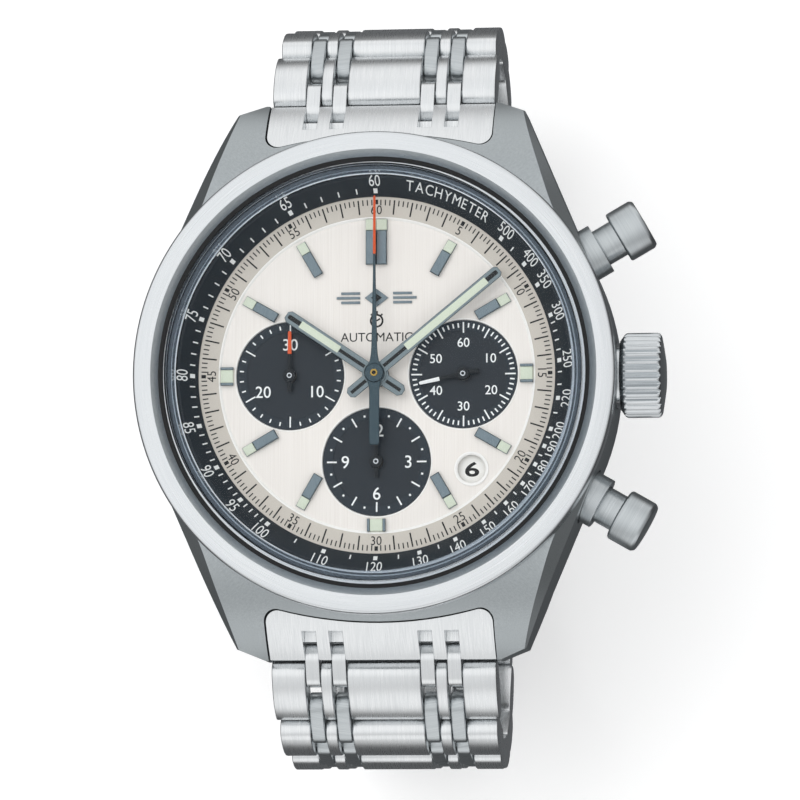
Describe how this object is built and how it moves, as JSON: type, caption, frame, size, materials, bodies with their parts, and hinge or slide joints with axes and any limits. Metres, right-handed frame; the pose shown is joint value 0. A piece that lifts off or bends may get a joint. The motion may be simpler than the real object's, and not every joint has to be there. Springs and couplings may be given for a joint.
{
  "type": "chronograph wristwatch",
  "caption": "Automatic chronograph wristwatch in steel: cream dial with dark counters, black tachymeter ring, crown, pushers, link bracelet and folding clasp that open.",
  "frame": {"origin": "centre of the case back's outer face, on the axis of the centre hands", "axes": "+Z out of the dial, +Y towards 12 o'clock, +X towards the crown at 3 o'clock; the closed bracelet hangs below, at negative Z"},
  "size_m": [0.046, 0.0672, 0.0466],
  "materials": {
    "brushed_steel": "satin brushed",
    "polished_steel": "polished",
    "sapphire": "clear polished",
    "black_rubber": "matt",
    "black_ring": "satin black",
    "cream_dial": "fine brushed lacquer",
    "beige_ring": "matt lacquer",
    "lume": "luminous paint",
    "nickel": "plated, striped",
    "brass_gilt": "gilt",
    "nylon_holder": "moulded",
    "date_white": "white lacquer",
    "orange_white_hand": "lacquer"
  },
  "bodies": {
    "case": {"case_body": "brushed_steel", "bezel": "polished_steel", "crystal": "sapphire", "crystal_gasket": "black_rubber", "tachymeter_ring": "black_ring", "minute_track_ring": "beige_ring", "dial_plate": "cream_dial", "date_frame": "polished_steel", "hour_markers": "polished_steel", "marker_lume": "lume", "movement_holder": "nylon_holder", "main_plate": "nickel", "bridges": "nickel", "bridge_screws": "polished_steel", "rotor_bearing": "polished_steel", "case_back_ring": "brushed_steel", "back_crystal": "sapphire", "back_gasket": "black_rubber", "crown_tube": "polished_steel", "pusher_tubes": "brushed_steel", "end_link_12": "brushed_steel", "end_link_6": "brushed_steel", "spring_bars": "polished_steel"},
    "hour_hand": {"hour_hand": "polished_steel"},
    "minute_hand": {"minute_hand": "polished_steel"},
    "small_seconds_hand": {"small_seconds_hand": "orange_white_hand"},
    "chrono_seconds_hand": {"chrono_seconds_hand": "polished_steel"},
    "minute_counter_hand": {"minute_counter_hand": "orange_white_hand"},
    "hour_counter_hand": {"hour_counter_hand": "orange_white_hand"},
    "date_disc": {"date_disc": "date_white"},
    "rotor": {"rotor": "nickel"},
    "balance_wheel": {"balance_wheel": "brass_gilt"},
    "crown_gasket": {"crown_gasket": "black_rubber"},
    "pusher_upper": {"pusher_upper": "brushed_steel"},
    "pusher_lower": {"pusher_lower": "brushed_steel"},
    "crown": {"crown": "brushed_steel", "winding_stem": "brushed_steel"},
    "link_12_1": {"link_12_1": "brushed_steel"},
    "link_12_2": {"link_12_2": "brushed_steel"},
    "link_12_3": {"link_12_3": "brushed_steel"},
    "link_12_4": {"link_12_4": "brushed_steel"},
    "link_12_5": {"link_12_5": "brushed_steel"},
    "link_12_6": {"link_12_6": "brushed_steel"},
    "link_12_7": {"link_12_7": "brushed_steel"},
    "link_6_1": {"link_6_1": "brushed_steel"},
    "link_6_2": {"link_6_2": "brushed_steel"},
    "link_6_3": {"link_6_3": "brushed_steel"},
    "link_6_4": {"link_6_4": "brushed_steel"},
    "link_6_5": {"link_6_5": "brushed_steel"},
    "link_6_6": {"link_6_6": "brushed_steel"},
    "link_6_7": {"link_6_7": "brushed_steel"},
    "clasp_cover": {"clasp_cover": "brushed_steel"},
    "clasp_middle_blade": {"clasp_middle_blade": "brushed_steel"},
    "clasp_inner_blade": {"clasp_inner_blade": "brushed_steel"},
    "clasp_button_left": {"clasp_button_left": "brushed_steel"},
    "clasp_button_right": {"clasp_button_right": "brushed_steel"}
  },
  "joints": [
    {"name": "small_seconds_turn", "type": "hinge", "parent": "case", "child": "small_seconds_hand", "pos_m": [0.00758, 0, 0.0088], "axis": [0, 0, -1], "continuous": true},
    {"name": "minute_hand_turn", "type": "hinge", "parent": "case", "child": "minute_hand", "pos_m": [0, 0, 0.0097], "axis": [0, 0, -1], "continuous": true},
    {"name": "hour_hand_turn", "type": "hinge", "parent": "case", "child": "hour_hand", "pos_m": [0, 0, 0.0093], "axis": [0, 0, -1], "continuous": true},
    {"name": "chrono_seconds_turn", "type": "hinge", "parent": "case", "child": "chrono_seconds_hand", "pos_m": [0, 0, 0.0101], "axis": [0, 0, -1], "continuous": true},
    {"name": "minute_counter_turn", "type": "hinge", "parent": "case", "child": "minute_counter_hand", "pos_m": [-0.00758, 0, 0.0088], "axis": [0, 0, -1], "continuous": true},
    {"name": "hour_counter_turn", "type": "hinge", "parent": "case", "child": "hour_counter_hand", "pos_m": [0, -0.00758, 0.0088], "axis": [0, 0, -1], "continuous": true},
    {"name": "date_turn", "type": "hinge", "parent": "case", "child": "date_disc", "pos_m": [0, 0, 0.0077], "axis": [0, 0, -1], "continuous": true},
    {"name": "rotor_turn", "type": "hinge", "parent": "case", "child": "rotor", "pos_m": [0, 0, 0.0023], "axis": [0, 0, 1], "continuous": true},
    {"name": "balance_swing", "type": "hinge", "parent": "case", "child": "balance_wheel", "pos_m": [-0.0066, -0.007, 0.0048], "axis": [0, 0, 1], "range_deg": [-270, 270], "stiffness_Nm_per_rad": 0.0000004},
    {"name": "crown_pull", "type": "slide", "parent": "case", "child": "crown_gasket", "axis": [1, 0, 0], "range_m": [0, 0.0014]},
    {"name": "crown_turn", "type": "hinge", "parent": "crown_gasket", "child": "crown", "pos_m": [0.022, 0, 0.0055], "axis": [1, 0, 0], "continuous": true},
    {"name": "pusher_upper_press", "type": "slide", "parent": "case", "child": "pusher_upper", "axis": [-0.866, -0.5, 0], "range_m": [0, 0.001], "stiffness_N_per_m": 3000, "springref_m": -0.0005},
    {"name": "pusher_lower_press", "type": "slide", "parent": "case", "child": "pusher_lower", "axis": [-0.866, 0.5, 0], "range_m": [0, 0.001], "stiffness_N_per_m": 3000, "springref_m": -0.0005},
    {"name": "link_12_1_fold", "type": "hinge", "parent": "case", "child": "link_12_1", "pos_m": [0, 0.0256, 0.0017], "axis": [1, 0, 0], "range_deg": [0, 40]},
    {"name": "link_12_2_fold", "type": "hinge", "parent": "link_12_1", "child": "link_12_2", "pos_m": [0, 0.03035, -0.00229], "axis": [1, 0, 0], "range_deg": [0, 34]},
    {"name": "link_12_3_fold", "type": "hinge", "parent": "link_12_2", "child": "link_12_3", "pos_m": [0, 0.03206, -0.00825], "axis": [1, 0, 0], "range_deg": [0, 16]},
    {"name": "link_12_4_fold", "type": "hinge", "parent": "link_12_3", "child": "link_12_4", "pos_m": [0, 0.03206, -0.01445], "axis": [1, 0, 0], "range_deg": [0, 10.52]},
    {"name": "link_12_5_fold", "type": "hinge", "parent": "link_12_4", "child": "link_12_5", "pos_m": [0, 0.03093, -0.02054], "axis": [1, 0, 0], "range_deg": [0, 21.45]},
    {"name": "link_12_6_fold", "type": "hinge", "parent": "link_12_5", "child": "link_12_6", "pos_m": [0, 0.02764, -0.0258], "axis": [1, 0, 0], "range_deg": [0, 26.1]},
    {"name": "link_12_7_fold", "type": "hinge", "parent": "link_12_6", "child": "link_12_7", "pos_m": [0, 0.02238, -0.02908], "axis": [1, 0, 0], "range_deg": [0, 21.45]},
    {"name": "link_6_1_fold", "type": "hinge", "parent": "case", "child": "link_6_1", "pos_m": [0, -0.0256, 0.0017], "axis": [-1, 0, 0], "range_deg": [-2.5, 42.5]},
    {"name": "link_6_2_fold", "type": "hinge", "parent": "link_6_1", "child": "link_6_2", "pos_m": [0, -0.03035, -0.00229], "axis": [-1, 0, 0], "range_deg": [-2.5, 34.5]},
    {"name": "link_6_3_fold", "type": "hinge", "parent": "link_6_2", "child": "link_6_3", "pos_m": [0, -0.03206, -0.00825], "axis": [-1, 0, 0], "range_deg": [0, 16]},
    {"name": "link_6_4_fold", "type": "hinge", "parent": "link_6_3", "child": "link_6_4", "pos_m": [0, -0.03206, -0.01445], "axis": [-1, 0, 0], "range_deg": [0, 10.52]},
    {"name": "link_6_5_fold", "type": "hinge", "parent": "link_6_4", "child": "link_6_5", "pos_m": [0, -0.03093, -0.02054], "axis": [-1, 0, 0], "range_deg": [0, 21.45]},
    {"name": "link_6_6_fold", "type": "hinge", "parent": "link_6_5", "child": "link_6_6", "pos_m": [0, -0.02764, -0.0258], "axis": [-1, 0, 0], "range_deg": [0, 26.1]},
    {"name": "link_6_7_fold", "type": "hinge", "parent": "link_6_6", "child": "link_6_7", "pos_m": [0, -0.02238, -0.02908], "axis": [-1, 0, 0], "range_deg": [0, 21.45]},
    {"name": "clasp_cover_fold", "type": "hinge", "parent": "link_12_7", "child": "clasp_cover", "pos_m": [0, 0.01629, -0.03021], "axis": [1, 0, 0], "range_deg": [0, 10.48]},
    {"name": "clasp_fold_1", "type": "hinge", "parent": "clasp_cover", "child": "clasp_middle_blade", "pos_m": [0, -0.0145, -0.0303], "axis": [1, 0, 0], "range_deg": [0, 175]},
    {"name": "clasp_fold_2", "type": "hinge", "parent": "clasp_middle_blade", "child": "clasp_inner_blade", "pos_m": [0, 0.0129, -0.0301], "axis": [-1, 0, 0], "range_deg": [0, 175]},
    {"name": "clasp_button_left_press", "type": "slide", "parent": "clasp_cover", "child": "clasp_button_left", "axis": [1, 0, 0], "range_m": [0, 0.00045], "stiffness_N_per_m": 1500, "springref_m": -0.0003},
    {"name": "clasp_button_right_press", "type": "slide", "parent": "clasp_cover", "child": "clasp_button_right", "axis": [-1, 0, 0], "range_m": [0, 0.00045], "stiffness_N_per_m": 1500, "springref_m": -0.0003}
  ],
  "couplings": [
    {"joint": "minute_hand_turn", "follows": "small_seconds_turn", "ratio": 0.016667},
    {"joint": "hour_hand_turn", "follows": "small_seconds_turn", "ratio": 0.0013889},
    {"joint": "minute_counter_turn", "follows": "chrono_seconds_turn", "ratio": 0.033333},
    {"joint": "hour_counter_turn", "follows": "chrono_seconds_turn", "ratio": 0.0013889},
    {"joint": "link_6_1_fold", "follows": "link_12_1_fold", "ratio": 1},
    {"joint": "link_6_2_fold", "follows": "link_12_1_fold", "ratio": 0.8},
    {"joint": "clasp_fold_1", "follows": "link_12_1_fold", "ratio": 4.2},
    {"joint": "clasp_fold_2", "follows": "link_12_1_fold", "ratio": 4.2}
  ]
}
